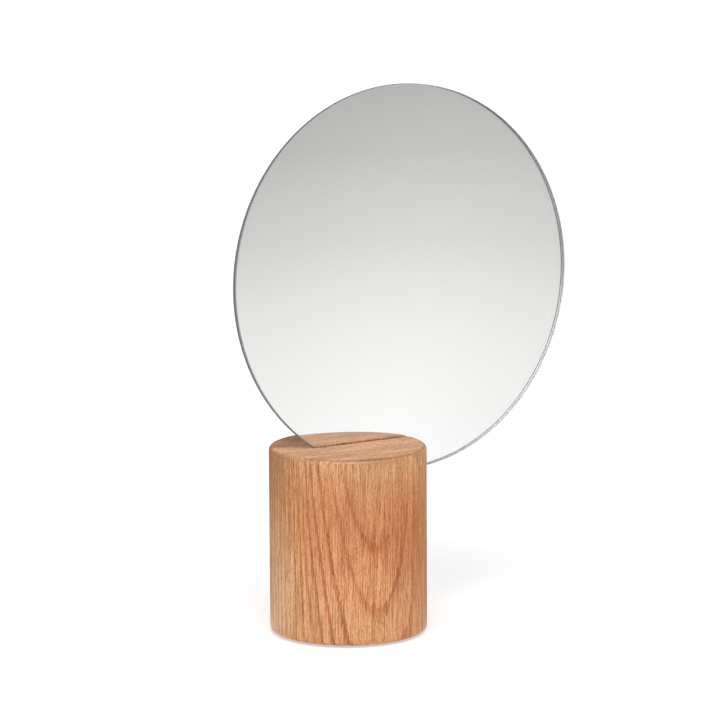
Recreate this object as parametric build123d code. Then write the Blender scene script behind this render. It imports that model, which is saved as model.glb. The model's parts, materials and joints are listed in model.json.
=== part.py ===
from build123d import *
import os
from math import cos, radians, sin, tan

# Driving dimensions, in millimetres and degrees

# Oak base: one solid block, turned round, edges eased all round
base_diameter = 81
base_height = 96
base_edge_radius = 2

# Felt pad glued into a shallow recess under the base, standing a little proud of the wood
pad_thickness = 2
pad_proud = 1
pad_inset = 7
pad_clearance = 0.3

# Round mirror: clear float glass with ground arrises, silvered and painted on its back
glass_diameter = 200
glass_thickness = 3
glass_arris = 0.4
silver_thickness = 0.05
paint_thickness = 0.1

# Slot across the top of the base: its floor follows the rim of the glass, so it is stopped
# at the left and breaks out through the base's wall at the right
slot_depth = 17.5
slot_setback = 2.1
glass_offset = 38
glass_lean = 1.85
slot_clearance = 0.1
seat_clearance = 0.3

# Values worked out from the driving dimensions
base_radius = base_diameter / 2
pad_radius = base_radius - pad_inset
glass_radius = glass_diameter / 2
recess_depth = pad_thickness - pad_proud
base_top = pad_proud + base_height
lean_sin = sin(radians(glass_lean))
lean_cos = cos(radians(glass_lean))
lean_tan = tan(radians(glass_lean))
mirror_thickness = glass_thickness + silver_thickness + paint_thickness

# Upright: the leaning disc's lowest point is the back rim, just clear of the slot's floor
slot_floor = base_top - slot_depth
glass_centre_z = slot_floor + seat_clearance + glass_thickness * lean_sin + glass_radius * lean_cos
front_rim_bottom = glass_centre_z - glass_radius * lean_cos

# Front to back: the front rim's foot leans on the slot's front wall, the back on the rear lip
front_foot_y = slot_setback + slot_clearance
front_at_top_y = front_foot_y + (base_top - front_rim_bottom) * lean_tan
slot_rear_y = front_at_top_y + mirror_thickness / lean_cos + slot_clearance
slot_width = slot_rear_y - slot_setback
glass_centre_y = front_foot_y + glass_radius * lean_sin

# The glass's own plane: origin in the middle of its front face, Z into the glass, towards the back
mirror_plane = Plane(
    origin=(glass_offset, glass_centre_y, glass_centre_z),
    x_dir=(1, 0, 0),
    z_dir=(0, lean_cos, -lean_sin),
)


def upright_disc(radius, height, bottom):
    """A round plate or block on the base's axis, standing on the given height."""
    on_its_end = (Align.CENTER, Align.CENTER, Align.MIN)
    return Pos(0, 0, bottom) * Cylinder(radius, height, align=on_its_end)


def mirror_layer(radius, thickness, depth):
    """A round layer of the mirror, its front face at a depth behind the glass's front face."""
    on_its_front = (Align.CENTER, Align.CENTER, Align.MIN)
    return mirror_plane * Pos(0, 0, depth) * Cylinder(radius, thickness, align=on_its_front)


def slot_cut():
    """The saw's path: an upright disc a little larger than the glass, as wide as the slot."""
    cut_radius = glass_radius + seat_clearance
    cut_plane = Plane(
        origin=(glass_offset, slot_setback, slot_floor + cut_radius),
        x_dir=(1, 0, 0),
        z_dir=(0, 1, 0),
    )
    from_front_wall = (Align.CENTER, Align.CENTER, Align.MIN)
    return cut_plane * Cylinder(cut_radius, slot_width, align=from_front_wall)


def make_oak_base():
    block = upright_disc(base_radius, base_height, pad_proud)
    block = fillet(block.edges().filter_by(GeomType.CIRCLE), base_edge_radius)
    recess = upright_disc(pad_radius + pad_clearance, recess_depth, pad_proud)
    return block - slot_cut() - recess


def make_felt_pad():
    return upright_disc(pad_radius, pad_thickness, 0)


def make_mirror_glass():
    disc = mirror_layer(glass_radius, glass_thickness, 0)
    return chamfer(disc.edges().filter_by(GeomType.CIRCLE), glass_arris)


def make_silver_coat():
    return mirror_layer(glass_radius - glass_arris, silver_thickness, glass_thickness)


def make_back_paint():
    behind_silver = glass_thickness + silver_thickness
    return mirror_layer(glass_radius - glass_arris, paint_thickness, behind_silver)


pieces = {
    "oak_base": make_oak_base(),
    "felt_pad": make_felt_pad(),
    "mirror_glass": make_mirror_glass(),
    "silver_coat": make_silver_coat(),
    "back_paint": make_back_paint(),
}

os.makedirs("parts", exist_ok=True)
for name, piece in pieces.items():
    export_step(piece, f"parts/{name}.step")

print(f"slot {slot_width:.2f} wide and {slot_depth} deep, glass leans {glass_lean} degrees")
print(f"overall height {glass_centre_z + glass_radius * lean_cos:.1f}")
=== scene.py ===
import json
from math import cos, pi, radians, sin

import bmesh
import bpy
from mathutils import Matrix, Vector


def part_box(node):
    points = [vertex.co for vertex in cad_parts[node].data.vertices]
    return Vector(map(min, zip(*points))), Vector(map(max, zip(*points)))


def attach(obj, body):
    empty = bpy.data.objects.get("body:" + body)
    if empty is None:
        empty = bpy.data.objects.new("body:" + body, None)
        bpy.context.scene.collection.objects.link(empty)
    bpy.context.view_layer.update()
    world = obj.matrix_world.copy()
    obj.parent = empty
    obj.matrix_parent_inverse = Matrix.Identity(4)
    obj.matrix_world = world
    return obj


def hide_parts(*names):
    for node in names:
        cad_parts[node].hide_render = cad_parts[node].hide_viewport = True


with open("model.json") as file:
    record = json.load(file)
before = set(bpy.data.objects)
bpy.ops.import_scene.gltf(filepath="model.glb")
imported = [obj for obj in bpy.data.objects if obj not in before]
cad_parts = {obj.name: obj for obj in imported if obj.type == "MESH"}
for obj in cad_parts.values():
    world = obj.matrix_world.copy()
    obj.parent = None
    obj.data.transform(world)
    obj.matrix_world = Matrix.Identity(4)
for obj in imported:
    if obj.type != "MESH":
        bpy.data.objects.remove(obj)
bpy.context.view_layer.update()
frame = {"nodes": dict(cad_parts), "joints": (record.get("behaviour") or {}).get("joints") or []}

# Felt pad: a round of pressed wool felt, cut with a punch and glued into the recess under the base.
# The mirror stands on it, so its underside is flat, and the lower edge of the cut is worn soft.
felt_low, felt_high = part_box("felt_pad")
felt_radius = (felt_high.x - felt_low.x) / 2
felt_edge = 0.0005
felt_edge_steps = 5
felt_rings = 14
felt_sides = 160


def lathe(name, profile, sides, sharp_rings=()):
    """A closed solid turned about Z from (radius, height) points that start and end on the axis."""
    solid = bmesh.new()
    tip = solid.verts.new((0, 0, profile[0][1]))
    tail = solid.verts.new((0, 0, profile[-1][1]))
    turns = [2 * pi * k / sides for k in range(sides)]
    rings = []
    for radius, height in profile[1:-1]:
        rings.append([solid.verts.new((radius * cos(turn), radius * sin(turn), height)) for turn in turns])
    for k in range(sides):
        after = (k + 1) % sides
        solid.faces.new((tip, rings[0][after], rings[0][k]))
        solid.faces.new((tail, rings[-1][k], rings[-1][after]))
        for upper, lower in zip(rings, rings[1:]):
            solid.faces.new((upper[k], upper[after], lower[after], lower[k]))
    for face in solid.faces:
        face.smooth = True
    for index in sharp_rings:
        for k in range(sides):
            edge = solid.edges.get((rings[index][k], rings[index][(k + 1) % sides]))
            edge.smooth = False
    bmesh.ops.recalc_face_normals(solid, faces=solid.faces)
    mesh = bpy.data.meshes.new(name)
    solid.to_mesh(mesh)
    solid.free()
    piece = bpy.data.objects.new(name, mesh)
    bpy.context.scene.collection.objects.link(piece)
    return piece


def finish_named(name):
    """A new, empty finish: the finish itself, its node tree and the tree's end node."""
    finish = bpy.data.materials.new(name)
    finish.use_nodes = True
    finish.node_tree.nodes.clear()
    return finish, finish.node_tree, finish.node_tree.nodes.new("ShaderNodeOutputMaterial")


def wire(tree, kind, inputs=(), **settings):
    """Adds a shader node, sets its options, and sets or links its inputs."""
    step = tree.nodes.new(kind)
    for key, value in settings.items():
        setattr(step, key, value)
    for key, value in dict(inputs).items():
        if isinstance(value, bpy.types.NodeSocket):
            tree.links.new(value, step.inputs[key])
        else:
            step.inputs[key].default_value = value
    return step


def calc(tree, operation, *values):
    """Arithmetic on numbers and on levels, the numbers that change over a finish."""
    return wire(tree, "ShaderNodeMath", enumerate(values), operation=operation).outputs[0]


def mixture(tree, *parts):
    """Levels added up in their shares."""
    total = calc(tree, "MULTIPLY", *parts[0])
    for level, share in parts[1:]:
        total = calc(tree, "MULTIPLY_ADD", level, share, total)
    return total


def scaled(tree, vector, factor):
    """A place or a colour times one number."""
    return wire(tree, "ShaderNodeVectorMath", {0: vector, "Scale": factor}, operation="SCALE").outputs[0]


def multiplied(tree, vector, factors):
    """A place or a colour times three numbers, one for each of its own."""
    return wire(tree, "ShaderNodeVectorMath", {0: vector, 1: factors}, operation="MULTIPLY").outputs[0]


def millimetres(tree):
    """The place on the piece, in millimetres from the middle of the mirror's underside."""
    return scaled(tree, wire(tree, "ShaderNodeTexCoord").outputs["Object"], 1000.0)


def stretched_noise(tree, place, per_mm, detail=2.0, roughness=0.5):
    """Noise with its own fineness along each axis, in features a millimetre."""
    scaled_place = multiplied(tree, place, per_mm)
    grain = {"Vector": scaled_place, "Scale": 1.0, "Detail": detail, "Roughness": roughness}
    return wire(tree, "ShaderNodeTexNoise", grain).outputs[0]


def colour(red, green, blue):
    """A colour as it looks on screen, 0 to 255, turned to the linear values that a shader takes."""
    linear = []
    for level in (red / 255, green / 255, blue / 255):
        linear.append(level / 12.92 if level < 0.04045 else ((level + 0.055) / 1.055) ** 2.4)
    return (*linear, 1.0)


def ramp(tree, level, stops):
    """A run of colours, from stops of (level, colour) in rising order."""
    run = wire(tree, "ShaderNodeValToRGB", {"Fac": level})
    marks = run.color_ramp.elements
    for mark, (place, tint) in zip(marks, (stops[0], stops[-1])):
        mark.position = place
        mark.color = (*tint[:3], 1)
    for place, tint in stops[1:-1]:
        marks.new(place).color = (*tint[:3], 1)
    return run.outputs[0]


def relief(tree, height, strength, depth):
    """Fine relief on a surface, from a level; its depth is in metres."""
    shape = {"Height": height, "Strength": strength, "Distance": depth}
    return wire(tree, "ShaderNodeBump", shape).outputs[0]


def dress(tree, end, look):
    """Ends a finish with its surface."""
    surface = wire(tree, "ShaderNodeBsdfPrincipled", look).outputs[0]
    tree.links.new(surface, end.inputs["Surface"])


felt_profile = [(0, felt_low.z)]
felt_profile += [(felt_radius * (k + 1) / (felt_rings + 1), felt_low.z) for k in range(felt_rings)]
for k in range(felt_edge_steps + 1):
    bend = pi / 2 * k / felt_edge_steps
    out = felt_radius - felt_edge + felt_edge * sin(bend)
    felt_profile.append((out, felt_low.z + felt_edge * (1 - cos(bend))))
felt_profile += [(felt_radius, felt_high.z), (0, felt_high.z)]
felt = lathe("felt_round", felt_profile, felt_sides)

felt_wool, tree, end = finish_named("brown_wool_felt")
spot = millimetres(tree)
fluff = stretched_noise(tree, spot, (2.2, 2.2, 2.2), detail=6.0, roughness=0.7)
matted = stretched_noise(tree, spot, (0.12, 0.12, 0.12), detail=3.0)
wool = mixture(tree, (fluff, 0.7), (matted, 0.3))
wool = ramp(tree, wool, ((0.3, colour(50, 41, 36)), (0.7, colour(92, 79, 70))))
nap = relief(tree, fluff, strength=0.6, depth=0.0004)
dress(tree, end, {
    "Base Color": wool, "Roughness": 0.95, "Normal": nap, "Sheen Weight": 0.4, "Sheen Roughness": 0.5})
felt.data.materials.append(felt_wool)
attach(felt, "base")
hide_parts("felt_pad")

# Oak base: one solid block of flat-sawn oak, turned round and sanded, its edges eased, oiled to a satin.
# The growth rings lie almost flat and lean back as they climb, so the front shows arches that open
# upwards, and the top shows the same rings end on. The sawn slot is left bare, so the glass stays clean.
oak_base = frame["nodes"]["oak_base"]
block_high = 1000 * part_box("oak_base")[1].z
ring_line = colour(187, 109, 54)
ring_warm = colour(200, 132, 80)
ring_pale = colour(207, 142, 91)
pore_brown = colour(138, 69, 24)
bare_oak = colour(232, 163, 107)
no_tint = (1, 1, 1, 1)


def span(tree, level, start, stop, at_start=0.0, at_stop=1.0, smooth=False):
    """Goes from one value to another as a level goes from start to stop, and stays so beyond them."""
    course = "SMOOTHSTEP" if smooth else "LINEAR"
    stretch = {"Value": level, 1: start, 2: stop, 3: at_start, 4: at_stop}
    return wire(tree, "ShaderNodeMapRange", stretch, interpolation_type=course).outputs[0]


def product(tree, *levels):
    """Levels multiplied together."""
    total = levels[0]
    for level in levels[1:]:
        total = calc(tree, "MULTIPLY", total, level)
    return total


def distance(tree, across, up):
    """How far off a place is that lies so far across and so far up."""
    return calc(tree, "SQRT", calc(tree, "MULTIPLY_ADD", across, across, calc(tree, "POWER", up, 2.0)))


def dot(tree, place, direction):
    """How far a place lies along a direction."""
    measured = wire(tree, "ShaderNodeVectorMath", {0: place, 1: direction}, operation="DOT_PRODUCT")
    return measured.outputs["Value"]


def between(tree, share, first, second):
    """One level giving way to another."""
    return wire(tree, "ShaderNodeMix", {"Factor": share, 2: first, 3: second}).outputs[0]


def blend(tree, share, first, second, **settings):
    """One colour giving way to another."""
    colours = {"Factor": share, 6: first, 7: second}
    return wire(tree, "ShaderNodeMix", colours, data_type="RGBA", **settings).outputs[2]


def fibres(tree, place, across, along, detail=1.0):
    """Noise drawn out along the wood's fibres, in features a millimetre across and along them."""
    return stretched_noise(tree, place, (across, across, along), detail)


def repaint(node, finish):
    """Gives a solid its finish."""
    node.data.materials.clear()
    node.data.materials.append(finish)


oak, tree, end = finish_named("oiled_oak")
spot = millimetres(tree)
fleck = fibres(tree, spot, across=4.0, along=0.7)
short_fibre = fibres(tree, spot, across=4.2, along=0.16)
long_fibre = fibres(tree, spot, across=3.2, along=0.04)
strand = fibres(tree, spot, across=0.55, along=0.03, detail=2.0)
wander = fibres(tree, spot, across=0.03, along=0.012)

# The rings are arcs round the heart of the tree, far behind the block. A place on the block is given in
# millimetres sideways along the rings, outwards across them towards the bark, and up.
arch_turn = radians(10.1)
heart_behind = 700.0
heart_lean = 0.0864
mid_height = 45.0
ring_wander = 0.5
along, deep, height = wire(tree, "ShaderNodeSeparateXYZ", {0: spot}).outputs
sideways = dot(tree, spot, (cos(arch_turn), -sin(arch_turn), 0))
outwards = dot(tree, spot, (-sin(arch_turn), -cos(arch_turn), 0))
facing = wire(tree, "ShaderNodeNewGeometry").outputs["Normal"]
upright = wire(tree, "ShaderNodeSeparateXYZ", {0: facing}).outputs["Z"]
end_grain = span(tree, upright, 0.6, 0.95)
long_grain = calc(tree, "SUBTRACT", 1.0, end_grain)

# Both flanks of the block show straight lines, because the rings hardly lean there.
left_flank = span(tree, sideways, -36.0, -29.0, at_start=0.9, at_stop=0.0, smooth=True)
right_flank = span(tree, sideways, 13.0, 24.0, at_stop=0.9, smooth=True)
flank = product(tree, calc(tree, "ADD", left_flank, right_flank), long_grain)
lean = product(tree, calc(tree, "SUBTRACT", 1.0, flank), heart_lean)
above_middle = calc(tree, "SUBTRACT", height, mid_height)
leant = calc(tree, "MULTIPLY_ADD", above_middle, lean, mid_height * heart_lean)
strayed = calc(tree, "MULTIPLY_ADD", wander, ring_wander, -ring_wander / 2)
outwards = calc(tree, "ADD", outwards, calc(tree, "ADD", leant, strayed))
from_heart = distance(tree, sideways, calc(tree, "ADD", outwards, heart_behind))
smooth_grown = calc(tree, "SUBTRACT", from_heart, heart_behind)

# A dark line with ragged sides parts each year from the next, a thin one in the youngest wood. The years
# in the front of the block are set one by one, by where they end and how dark the line there is, and the
# others are of a usual width.
year_ends = (23.6, 26.8, 29.1, 31.95, 35.3, 38.55, 42.2, 45.05, 49.2)
line_depths = (1.0, 0.7, 0.5, 1.0, 1.0, 0.9, 0.65, 0.75, 0.4)
depth_before, depth_after = 0.5, 0.6
usual_year = 3.4
ragged_by_fibre, ragged_by_strand = 0.7, 0.5
ragged = calc(tree, "MULTIPLY_ADD", strand, ragged_by_strand, -(ragged_by_fibre + ragged_by_strand) / 2)
ragged = calc(tree, "MULTIPLY_ADD", short_fibre, ragged_by_fibre, ragged)
grown = calc(tree, "ADD", smooth_grown, ragged)
grown_before = calc(tree, "MINIMUM", calc(tree, "SUBTRACT", grown, year_ends[0]), 0.0)
grown_after = calc(tree, "MAXIMUM", calc(tree, "SUBTRACT", grown, year_ends[-1]), 0.0)
rings = calc(tree, "DIVIDE", calc(tree, "ADD", grown_before, grown_after), usual_year)
for begun, ended in zip(year_ends, year_ends[1:]):
    rings = calc(tree, "ADD", rings, span(tree, grown, begun, ended))
thin_lines = span(tree, grown, 38.8, 40.0, at_start=1.0, at_stop=1.9)
ring = calc(tree, "POWER", calc(tree, "FRACT", rings), thin_lines)
ring_shade = ramp(tree, ring, (
    (0.0, ring_warm), (0.06, ring_pale), (0.45, ring_pale),
    (0.70, ring_warm), (0.84, ring_line), (1.0, ring_line)))

# The lines fade on the right of the two inner arches and of the outer ones, and on the end grain.
record_from, record_to = 20.0, 50.0
end_grain_depth = 0.6


def on_record(levels):
    """Grey stops for levels that are given by where in the wood's years they stand."""
    return [((place - record_from) / (record_to - record_from), (level,) * 3) for place, level in levels]


recorded = span(tree, grown, record_from, record_to)
set_depths = [(record_from, depth_before), *zip(year_ends, line_depths), (record_to, depth_after)]
depth = ramp(tree, recorded, on_record(set_depths))
outer_arches = span(tree, grown, 39.2, 38.4)
outer_right = product(tree, outer_arches, span(tree, sideways, 6.0, 14.0, at_stop=0.55))
inner_arches = span(tree, grown, 43.2, 43.8)
inner_right = product(tree, inner_arches, span(tree, sideways, 0.0, 7.0, at_stop=0.65))
faded = calc(tree, "SUBTRACT", calc(tree, "SUBTRACT", 1.0, outer_right), inner_right)
open_grain = span(tree, height, 15.0, 85.0, at_start=1.15, at_stop=0.95)
line_depth = between(tree, end_grain, product(tree, depth, faded, open_grain), end_grain_depth)
ringed = blend(tree, line_depth, ring_warm, ring_shade, clamp_factor=False)

# The slot is cut by a round saw as large as the glass. Its bare wood is taken a hair past the cut.
slot_depth = 17.5
saw_radius = 100.3
saw_along = 38.0
saw_high = block_high - slot_depth + saw_radius
bare_front, bare_rear, bare_radius = 2.08, 6.05, saw_radius + 0.05
off_along = calc(tree, "SUBTRACT", along, saw_along)
off_high = calc(tree, "SUBTRACT", height, saw_high)
under_saw = calc(tree, "LESS_THAN", distance(tree, off_along, off_high), bare_radius)
past_front = calc(tree, "GREATER_THAN", deep, bare_front)
before_rear = calc(tree, "LESS_THAN", deep, bare_rear)
in_slot = product(tree, past_front, before_rear, under_saw)
ringed = blend(tree, in_slot, ringed, bare_oak)

# Some years grew paler or darker wood than others, and on the end grain they show as bands.
year_tones = ((20.0, 1.0), (28.0, 1.0), (30.0, 0.96), (33.0, 0.96), (36.5, 0.92),
              (40.2, 1.06), (43.6, 0.99), (46.5, 0.95), (50.0, 0.94))
layers = wire(tree, "ShaderNodeCombineXYZ", {0: sideways, 1: smooth_grown, 2: height}).outputs[0]
decade = stretched_noise(tree, layers, (0.02, 0.14, 0.004), detail=1.0)
decade_tone = span(tree, decade, 0.3, 0.7, at_start=0.94, at_stop=1.06)
band = stretched_noise(tree, layers, (0.02, 0.09, 0.0), roughness=0.6)
band_tone = span(tree, band, 0.35, 0.65, at_start=0.74, at_stop=1.30)
band_tone = between(tree, end_grain, 1.0, band_tone)
year_tone = ramp(tree, recorded, on_record(year_tones))
toned = scaled(tree, ringed, product(tree, year_tone, decade_tone, band_tone))

# The colour drifts up the block: a darker, redder belt above the middle, with painted floor bounce and
# sheen making the bottom and the top edge paler and bluer; a paler left flank, from painted bluish sheen,
# that is dark near the top; and a more golden right flank, from painted light that is redder and less
# bluish.
belt_and_painted_sheen_tints = (
    (0.0, (1.0, 1.07, 1.12)), (0.13, (1.03, 1.12, 1.22)), (0.27, (1.03, 1.11, 1.20)),
    (0.40, (0.98, 1.0, 1.03)), (0.54, (0.96, 0.94, 0.89)), (0.67, (0.91, 0.86, 0.79)),
    (0.79, (0.95, 0.95, 0.94)), (0.88, (1.0, 1.06, 1.14)), (0.95, (1.0, 1.17, 1.42)),
    (1.0, (1.06, 1.22, 1.34)))
left_painted_sheen_tints = (
    (0.0, (0.96, 1.08, 1.1)), (0.13, (1.0, 1.21, 1.42)), (0.3, (1.02, 1.27, 1.58)),
    (0.46, (1.05, 1.32, 1.64)), (0.62, (1.02, 1.21, 1.48)), (0.70, (1.0, 1.15, 1.22)),
    (0.78, (0.88, 0.90, 0.88)), (0.88, (0.80, 0.80, 0.77)), (1.0, (0.72, 0.68, 0.60)))
right_painted_light_tints = (
    (0.0, (1.15, 1.15, 1.02)), (0.15, (1.13, 1.05, 0.88)), (0.3, (1.06, 0.97, 0.80)),
    (0.46, (1.06, 0.90, 0.66)), (0.6, (1.11, 0.96, 0.72)), (0.72, (1.15, 1.05, 0.84)),
    (0.86, (1.13, 1.09, 0.96)), (1.0, (1.12, 1.10, 1.05)))
climb = calc(tree, "DIVIDE", height, block_high)
tints = [ramp(tree, climb, belt_and_painted_sheen_tints)]
# Painted sheen on the rear of the left flank: paler and bluish, darker near the top.
rearward = span(tree, smooth_grown, 15.0, 29.0, at_start=1.0, at_stop=0.0, smooth=True)
left_side = span(tree, sideways, -30.0, -10.0, at_start=1.0, at_stop=0.0)
left_sheen_reach = product(tree, rearward, left_side, long_grain)
# Painted light on the right flank: redder, with less bluish sheen.
right_light_reach = product(tree, span(tree, sideways, 5.0, 30.0), long_grain)
side_tint = blend(tree, left_sheen_reach, no_tint, ramp(tree, climb, left_painted_sheen_tints))
tints.append(blend(tree, right_light_reach, side_tint, ramp(tree, climb, right_painted_light_tints)))

# Painted shade along the eased upper edge, deepest where the rounding turns onto the top; lower down the
# rounding it is lighter and a little bluer.
painted_edge_shade_tints = (
    (0.02, no_tint), (0.1, (0.90, 0.94, 1.02)), (0.3, (0.86, 0.90, 1.02)), (0.5, (0.88, 0.93, 1.05)),
    (0.7, (0.82, 0.85, 0.92)), (0.9, (0.80, 0.78, 0.78)), (0.98, (0.86, 0.84, 0.84)), (0.999, no_tint))
tints.append(ramp(tree, upright, painted_edge_shade_tints))

# The top is end grain, finely speckled; painted sheen makes it pale and bluish, and painted shade darkens
# it towards the front edge.
top_painted_sheen_tints = (
    (0.42, (1.10, 1.14, 1.54)), (0.5, (0.98, 1.15, 1.63)), (0.74, (0.98, 1.15, 1.63)),
    (0.87, (0.92, 1.01, 1.34)), (0.93, (0.79, 0.82, 1.0)), (1.0, (0.65, 0.64, 0.70)))
across_top = span(tree, smooth_grown, -40.0, 50.0)
speckle = stretched_noise(tree, layers, (0.5, 0.35, 0.0), detail=3.0, roughness=0.7)
speckle = span(tree, speckle, 0.3, 0.7, at_start=0.82, at_stop=1.18)
top_painted_tint = scaled(tree, ramp(tree, across_top, top_painted_sheen_tints), speckle)
tints.append(blend(tree, end_grain, no_tint, top_painted_tint))

# Soft clouds of colour: a dark one high on the left of the arches, in the wood's own tone; a darker, redder
# one on their right, which is painted shade; and a pale, bluish one near the right edge, which is painted
# sheen.
# Each has its place sideways and up, half its width and height, and its tint.
tone_and_painted_light_clouds = ((-13.0, 66.0, 17.0, 34.0, (0.85, 0.83, 0.82, 1)),
          (16.0, 45.0, 12.0, 60.0, (0.81, 0.72, 0.65, 1)),
          (32.0, 45.0, 9.0, 60.0, (1.09, 1.26, 1.48, 1)))
for side_at, high_at, half_wide, half_high, cloud_tint in tone_and_painted_light_clouds:
    off_side = calc(tree, "DIVIDE", calc(tree, "SUBTRACT", sideways, side_at), half_wide)
    off_high = calc(tree, "DIVIDE", calc(tree, "SUBTRACT", height, high_at), half_high)
    off = distance(tree, off_side, off_high)
    inside = span(tree, off, 0.0, 1.0, at_start=1.0, at_stop=0.0, smooth=True)
    tints.append(blend(tree, product(tree, inside, long_grain), no_tint, cloud_tint))
# The painted sheen, light and shade above are multiplied into the wood's colour along with its tones.
for tint in tints:
    toned = multiplied(tree, toned, tint)

# The fibres are dark and pale streaks, and the open pores lie in rows along the years' lines.
fibre_tints = ((0.41, (0.58, 0.44, 0.27)), (0.5, no_tint), (0.59, (1.25, 1.53, 1.87)))
streak = mixture(tree, (strand, 0.16), (long_fibre, 0.31), (short_fibre, 0.29), (fleck, 0.24))
streaked = multiplied(tree, toned, ramp(tree, streak, fibre_tints))
plain_pore_limit, line_pore_drop = 0.64, 0.17
by_line = span(tree, ring, 0.6, 0.85, smooth=True)
pore_noise = fibres(tree, spot, across=2.6, along=0.2)
pore_rows = fibres(tree, spot, across=0.08, along=0.03, detail=2.0)
pore_rows = span(tree, pore_rows, 0.35, 0.65, at_start=0.4, at_stop=1.2)
pore_share = product(tree, by_line, line_depth, pore_rows)
pore_limit = calc(tree, "MULTIPLY_ADD", pore_share, -line_pore_drop, plain_pore_limit)
pores = span(tree, calc(tree, "SUBTRACT", pore_noise, pore_limit), 0.0, 0.1, at_stop=0.9)
pored = blend(tree, pores, streaked, pore_brown)
pitted = relief(tree, product(tree, pores, -1.0), strength=0.3, depth=0.0003)
end_grain_dulling = 0.4
satin = span(tree, strand, 0.3, 0.7, at_start=0.32, at_stop=0.42)
satin = calc(tree, "MULTIPLY_ADD", end_grain, end_grain_dulling, satin)
dress(tree, end, {"Base Color": pored, "Roughness": satin, "Normal": pitted, "IOR": 1.47})
repaint(oak_base, oak)

# Silvering: the bright coat laid chemically on the back of the glass, which gives the reflection.
# It stops at the ground edge, where its thin cut side has tarnished dark, and shows only through the glass.
silver_coat = frame["nodes"]["silver_coat"]
mirror_up = Vector(frame["joints"][0]["axis"])
mirror_front = Vector((1, 0, 0)).cross(mirror_up)
silver_bright = (0.870, 0.870, 0.862, 1)
silver_dull = (0.860, 0.863, 0.857, 1)
silver_tarnish = (0.05, 0.05, 0.05, 1)
silver, tree, end = finish_named("mirror_silver")
bloom = stretched_noise(tree, millimetres(tree), (0.02, 0.02, 0.02))
facing = wire(tree, "ShaderNodeNewGeometry").outputs["Normal"]
square_on = calc(tree, "ABSOLUTE", dot(tree, facing, mirror_front))
cut_side = span(tree, square_on, 0.3, 0.6, at_start=1.0, at_stop=0.0)
tone = blend(tree, cut_side, blend(tree, bloom, silver_dull, silver_bright), silver_tarnish)
dress(tree, end, {"Base Color": tone, "Metallic": 1.0, "Roughness": 0.0})
repaint(silver_coat, silver)

# Back paint: the grey lacquer that shields the silvering from damp, curtain-coated in a thin film.
# It dries satin, with a faint orange peel and slight streaks along the way that the glass was fed.
back_paint = frame["nodes"]["back_paint"]
lacquer_dark = colour(133, 136, 138)
lacquer_pale = colour(140, 143, 145)
lacquer, tree, end = finish_named("grey_back_lacquer")
spot = millimetres(tree)
streak = stretched_noise(tree, spot, (0.012, 0.2, 0.2), detail=3.0)
cloud = stretched_noise(tree, spot, (0.03, 0.03, 0.03))
peel = stretched_noise(tree, spot, (0.7, 0.7, 0.7))
drift = mixture(tree, (streak, 0.5), (cloud, 0.5))
grey = ramp(tree, drift, ((0.35, lacquer_dark), (0.65, lacquer_pale)))
skin = relief(tree, peel, strength=0.2, depth=0.0003)
satin = span(tree, drift, 0.35, 0.65, at_start=0.42, at_stop=0.45)
dress(tree, end, {"Base Color": grey, "Roughness": satin, "Normal": skin})
repaint(back_paint, lacquer)

# Glass: a disc of clear float glass, cut round, its edge ground flat to a satin, with a small ground
# bevel along both rims. It stands loose in the base's slot and leans back against the rear lip.
glass_low, glass_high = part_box("mirror_glass")
glass_middle = (glass_low + glass_high) / 2
glass_radius = (glass_high.x - glass_low.x) / 2
glass_thick = 0.003
glass_bevel = 0.0004
silver_bed = 0.00002
glass_sides = 360
glass_ior = 1.52
flat_edge_slope = 0.1
glass_profile = [
    (0, glass_thick / 2),
    (glass_radius - glass_bevel, glass_thick / 2),
    (glass_radius, glass_thick / 2 - glass_bevel),
    (glass_radius, glass_bevel - glass_thick / 2),
    (glass_radius - glass_bevel, -glass_thick / 2 - silver_bed),
    (0, -glass_thick / 2 - silver_bed),
]
glass = lathe("glass_disc", glass_profile, glass_sides, sharp_rings=(0, 1, 2, 3))
to_plane = Matrix((Vector((1, 0, 0)), mirror_up, mirror_front)).transposed().to_4x4()
glass.data.transform(Matrix.Translation(glass_middle) @ to_plane)

clear_glass, tree, end = finish_named("clear_float_glass")
surface = wire(tree, "ShaderNodeBsdfPrincipled", {
    "Base Color": (1, 1, 1, 1), "Roughness": 0.0, "IOR": glass_ior, "Transmission Weight": 1.0}).outputs[0]
lamp_ray = wire(tree, "ShaderNodeLightPath").outputs["Is Shadow Ray"]
lets_by = wire(tree, "ShaderNodeBsdfTransparent", {"Color": (0.92, 0.95, 0.94, 1)}).outputs[0]
surface = wire(tree, "ShaderNodeMixShader", {0: lamp_ray, 1: surface, 2: lets_by}).outputs[0]
body_green = wire(tree, "ShaderNodeVolumeAbsorption", {"Color": (0.25, 0.75, 0.55, 1), "Density": 1.3})
tree.links.new(surface, end.inputs["Surface"])
tree.links.new(body_green.outputs[0], end.inputs["Volume"])


def ground_glass(name, dark, pale, roughness, clearness):
    """Ground glass, grey from the wheel's grit and only partly clear; its dark greys are partly painted
    shade.
    """
    finish, tree, end = finish_named(name)
    grit = stretched_noise(tree, millimetres(tree), (3.0, 3.0, 3.0))
    dress(tree, end, {
        "Base Color": blend(tree, grit, dark, pale), "Roughness": roughness, "IOR": glass_ior,
        "Transmission Weight": clearness})
    return finish


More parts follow.
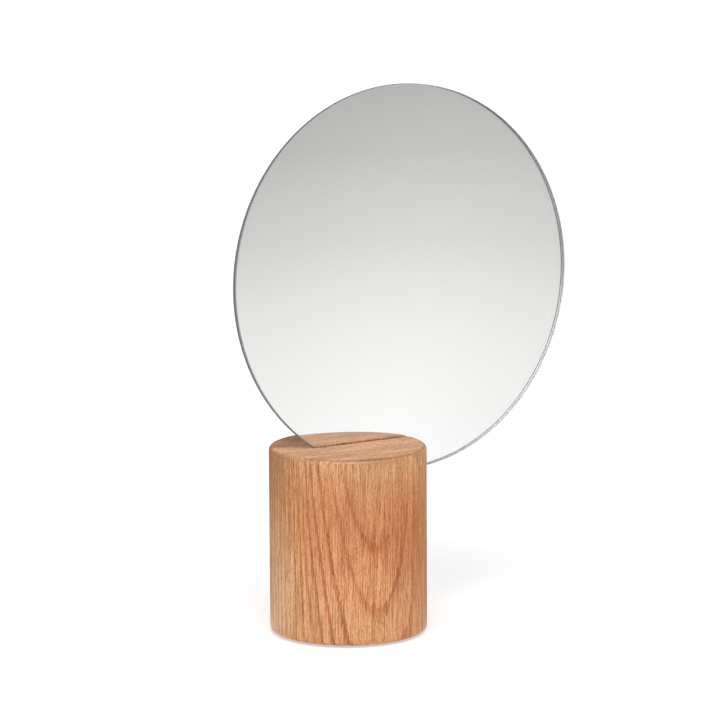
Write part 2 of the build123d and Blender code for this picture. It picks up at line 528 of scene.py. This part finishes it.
# The satin edge's greys, and more so the bevel's darker ones, are partly painted shade for the dim light at
# the rim.
satin_edge = ground_glass(
    "satin_glass_edge", dark=(0.50, 0.535, 0.525, 1), pale=(0.62, 0.66, 0.645, 1),
    roughness=0.35, clearness=0.8)
ground_bevel = ground_glass(
    "ground_glass_bevel", dark=(0.25, 0.265, 0.26, 1), pale=(0.36, 0.375, 0.37, 1),
    roughness=0.55, clearness=0.3)
glass_finishes = (clear_glass, satin_edge, ground_bevel)
for finish in glass_finishes:
    glass.data.materials.append(finish)
for face in glass.data.polygons:
    if len(face.vertices) == 4:
        on_flat_edge = abs(face.normal.dot(mirror_front)) < flat_edge_slope
        face.material_index = glass_finishes.index(satin_edge if on_flat_edge else ground_bevel)
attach(glass, "mirror")
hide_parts("mirror_glass")

# Floor: a wide white sweep, white to the camera, which keeps a soft shadow under the base.
# In the mirror it fades to grey with distance, as a lit table does towards a dimmer room.
floor_half = 9.0
floor_high = -0.0001
floor_corners = [(-floor_half, -floor_half, floor_high), (floor_half, -floor_half, floor_high),
                 (floor_half, floor_half, floor_high), (-floor_half, floor_half, floor_high)]
floor_mesh = bpy.data.meshes.new("floor")
floor_mesh.from_pydata(floor_corners, [], [(0, 1, 2, 3)])
floor = bpy.data.objects.new("floor", floor_mesh)
bpy.context.scene.collection.objects.link(floor)


def seen_three_ways(tree, end, straight, mirrored, lighting):
    """Shows one surface to the eye and another in the mirror, and lights the object by a third."""
    ray = wire(tree, "ShaderNodeLightPath").outputs
    by_mirror = calc(tree, "MAXIMUM", ray["Is Glossy Ray"], ray["Is Transmission Ray"])
    indirect = wire(tree, "ShaderNodeMixShader", {0: by_mirror, 1: lighting, 2: mirrored}).outputs[0]
    surface = wire(tree, "ShaderNodeMixShader", {0: ray["Is Camera Ray"], 1: indirect, 2: straight})
    tree.links.new(surface.outputs[0], end.inputs["Surface"])


sweep, tree, end = finish_named("white_sweep")
place = wire(tree, "ShaderNodeTexCoord").outputs["Object"]
away = wire(tree, "ShaderNodeVectorMath", {0: place}, operation="LENGTH").outputs["Value"]
matt = wire(tree, "ShaderNodeBsdfDiffuse", {"Color": (0.6, 0.6, 0.6, 1)}).outputs[0]
lift = span(tree, away, 0.3, 3.5, at_start=0.5, at_stop=0.8)
glow = wire(tree, "ShaderNodeEmission", {"Color": (1, 1, 1, 1), "Strength": lift}).outputs[0]
seen = wire(tree, "ShaderNodeAddShader", {0: matt, 1: glow}).outputs[0]

# The floor that the mirror shows has a bright aisle, ahead of the glass and to its right, and is dimmer
# on both sides of that.
warm_grey = (1.003, 1.0, 0.985)
fade_levels = ((0.26, 1.012), (0.42, 0.818), (0.68, 0.642))
fade_stops = [(share, [level * part for part in warm_grey]) for share, level in fade_levels]
fade_stops = [(0.12, (1.149, 1.149, 1.149)), *fade_stops, (1.0, (0.548, 0.545, 0.537))]
fade = ramp(tree, span(tree, away, 0.0, 5.0), fade_stops)
aisle_turn = radians(33.4)
aisle_sharpness = 88.0
forward = dot(tree, place, (sin(aisle_turn), -cos(aisle_turn), 0))
across = dot(tree, place, (cos(aisle_turn), sin(aisle_turn), 0))
spread = calc(tree, "POWER", calc(tree, "ABSOLUTE", calc(tree, "DIVIDE", across, forward)), 2.0)
aisle = calc(tree, "DIVIDE", 1.0, calc(tree, "MULTIPLY_ADD", spread, aisle_sharpness, 1.0))
dimmer = span(tree, away, 1.0, 3.5, at_start=0.864, at_stop=0.621)
pool = calc(tree, "MULTIPLY_ADD", calc(tree, "SUBTRACT", 1.0, dimmer), aisle, dimmer)
ahead = calc(tree, "DIVIDE", forward, away)
beside = span(tree, ahead, 0.5, 0.97, at_start=1.0, at_stop=0.0, smooth=True)
left_floor = span(tree, away, 0.06, 0.6, at_start=1.22, at_stop=0.47)
right_floor = 0.27
to_right = span(tree, calc(tree, "DIVIDE", across, away), -0.3, 0.3)
near = between(tree, to_right, left_floor, right_floor)
pool = between(tree, beside, pool, near)
mirrored = wire(tree, "ShaderNodeEmission", {"Color": fade, "Strength": pool}).outputs[0]
bounce = wire(tree, "ShaderNodeBsdfDiffuse", {"Color": (0.95, 0.95, 0.95, 1)}).outputs[0]
seen_three_ways(tree, end, straight=seen, mirrored=mirrored, lighting=bounce)
floor.data.materials.append(sweep)

# Light: an even white room, brighter on the side of its window, and one large soft box
# hung above the front, on the left.
window_side = Vector((-0.55, -0.6, 0.6)).normalized()
window_glow, wall_glow = 1.5, 0.45
soft_box_at = Vector((-0.6, -0.95, 1.9))
soft_box_aim = Vector((0, 0, 0.12))


def room_light(tree, strength):
    """White light from the room's walls."""
    return wire(tree, "ShaderNodeBackground", {"Color": (1, 1, 1, 1), "Strength": strength}).outputs[0]


room = bpy.data.worlds.new("white_room")
room.use_nodes = True
bpy.context.scene.world = room
tree = room.node_tree
tree.nodes.clear()
end = wire(tree, "ShaderNodeOutputWorld")
to_window = dot(tree, wire(tree, "ShaderNodeTexCoord").outputs["Generated"], window_side)
lit = span(tree, to_window, -0.6, 1.0, at_start=0.35, at_stop=0.9)
in_window = calc(tree, "POWER", span(tree, to_window, -0.4, 1.0), 1.5)
shown = calc(tree, "MULTIPLY_ADD", in_window, window_glow, wall_glow)
seen_three_ways(tree, end, straight=room_light(tree, 1.0), mirrored=room_light(tree, shown),
                lighting=room_light(tree, lit))
soft_box = bpy.data.lights.new("soft_box", "AREA")
soft_box.shape = "SQUARE"
soft_box.size = 1.4
soft_box.energy = 24.0
soft_box_stand = bpy.data.objects.new("soft_box", soft_box)
bpy.context.scene.collection.objects.link(soft_box_stand)
soft_box_stand.visible_transmission = False
soft_box_stand.location = soft_box_at
soft_box_stand.rotation_euler = (soft_box_aim - soft_box_at).to_track_quat("-Z", "Y").to_euler()

# Camera: two metres off, to the left of the mirror's front and above it, on a long lens.
# It looks down a little, so the top of the base shows in front of the glass and again in it.
camera_round = radians(-31.18)
camera_off = 2.0275
camera_high = 0.5092
camera_dip = radians(10.283)
camera_turn = radians(0.185)
camera_roll = radians(-0.295)
long_lens = bpy.data.cameras.new("long_lens")
long_lens.lens = 201.75
long_lens.sensor_width = 36.0
camera = bpy.data.objects.new("camera", long_lens)
bpy.context.scene.collection.objects.link(camera)
stand = Matrix.Translation((camera_off * sin(camera_round), -camera_off * cos(camera_round), camera_high))
heading = Matrix.Rotation(camera_round - camera_turn, 4, "Z")
tilt = Matrix.Rotation(pi / 2 - camera_dip, 4, "X")
camera.matrix_world = stand @ heading @ tilt @ Matrix.Rotation(camera_roll, 4, "Z")
bpy.context.scene.camera = camera
bpy.context.scene.view_settings.view_transform = "Standard"
